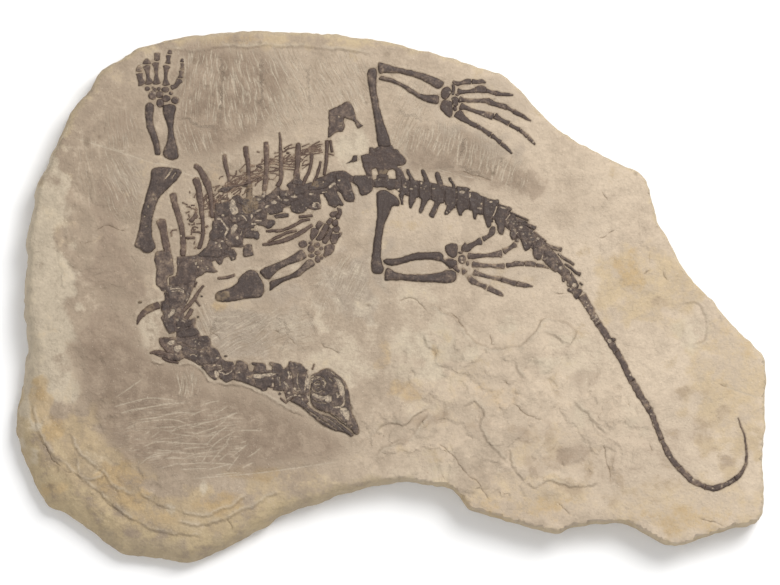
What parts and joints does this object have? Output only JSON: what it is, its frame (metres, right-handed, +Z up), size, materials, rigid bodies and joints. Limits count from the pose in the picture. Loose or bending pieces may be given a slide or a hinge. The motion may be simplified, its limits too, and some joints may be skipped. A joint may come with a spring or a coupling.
{
  "type": "fossil reptile skeleton slab",
  "caption": "Flattened skeleton of a small long-necked, long-tailed reptile in an irregular slab of pale limestone, lying on its flat back",
  "frame": {"origin": "middle of the whole piece's box, on the surface that the slab lies on", "axes": "+Z up out of the fossil face, +X along the slab towards the tip of the tail, +Y across it towards the raised right hand"},
  "size_m": [0.4214, 0.3006, 0.0266],
  "materials": {
    "limestone": "pale warm beige limestone, matt, prepared with fine scribe strokes, ochre along the worn rim",
    "dark_fossil_bone": "blackish brown mineralised bone, smooth, faint sheen",
    "brown_fossil_bone": "brown mineralised bone, crushed and finely cracked, faint sheen"
  },
  "bodies": {
    "root": {"slab": "limestone", "skull": "dark_fossil_bone", "lower_jaw": "dark_fossil_bone", "neck_vertebra_1": "brown_fossil_bone", "neck_vertebra_2": "brown_fossil_bone", "neck_vertebra_3": "brown_fossil_bone", "neck_vertebra_4": "brown_fossil_bone", "neck_vertebra_5": "brown_fossil_bone", "neck_vertebra_6": "brown_fossil_bone", "neck_vertebra_7": "brown_fossil_bone", "neck_vertebra_8": "brown_fossil_bone", "neck_vertebra_9": "brown_fossil_bone", "right_shoulder_blade": "brown_fossil_bone", "left_shoulder_blade": "brown_fossil_bone", "breast_bone": "brown_fossil_bone", "back_vertebra_1": "brown_fossil_bone", "back_vertebra_2": "brown_fossil_bone", "back_vertebra_3": "brown_fossil_bone", "back_vertebra_4": "brown_fossil_bone", "back_vertebra_5": "brown_fossil_bone", "back_vertebra_6": "brown_fossil_bone", "back_vertebra_7": "brown_fossil_bone", "back_vertebra_8": "brown_fossil_bone", "back_vertebra_9": "brown_fossil_bone", "back_vertebra_10": "brown_fossil_bone", "hip_vertebra_1": "brown_fossil_bone", "hip_vertebra_2": "brown_fossil_bone", "hip_blade": "brown_fossil_bone", "pubic_plate": "brown_fossil_bone", "tail_vertebra_1": "brown_fossil_bone", "tail_vertebra_2": "brown_fossil_bone", "tail_vertebra_3": "brown_fossil_bone", "tail_vertebra_4": "brown_fossil_bone", "tail_vertebra_5": "brown_fossil_bone", "tail_vertebra_6": "brown_fossil_bone", "tail_vertebra_7": "brown_fossil_bone", "tail_vertebra_8": "brown_fossil_bone", "tail_vertebra_9": "brown_fossil_bone", "tail_vertebra_10": "brown_fossil_bone", "tail_vertebra_11": "brown_fossil_bone", "tail_vertebra_12": "brown_fossil_bone", "rib_1": "brown_fossil_bone", "rib_2": "brown_fossil_bone", "rib_3": "brown_fossil_bone", "rib_4": "brown_fossil_bone", "rib_5": "brown_fossil_bone", "rib_6": "brown_fossil_bone", "rib_7": "brown_fossil_bone", "right_humerus": "dark_fossil_bone", "right_radius": "dark_fossil_bone", "right_femur": "dark_fossil_bone", "right_tibia": "dark_fossil_bone", "right_fibula": "dark_fossil_bone", "left_humerus": "dark_fossil_bone", "left_radius": "dark_fossil_bone", "left_ulna": "dark_fossil_bone", "left_femur": "dark_fossil_bone", "left_tibia": "dark_fossil_bone", "left_fibula": "dark_fossil_bone", "right_ulna": "dark_fossil_bone"}
  },
  "joints": []
}
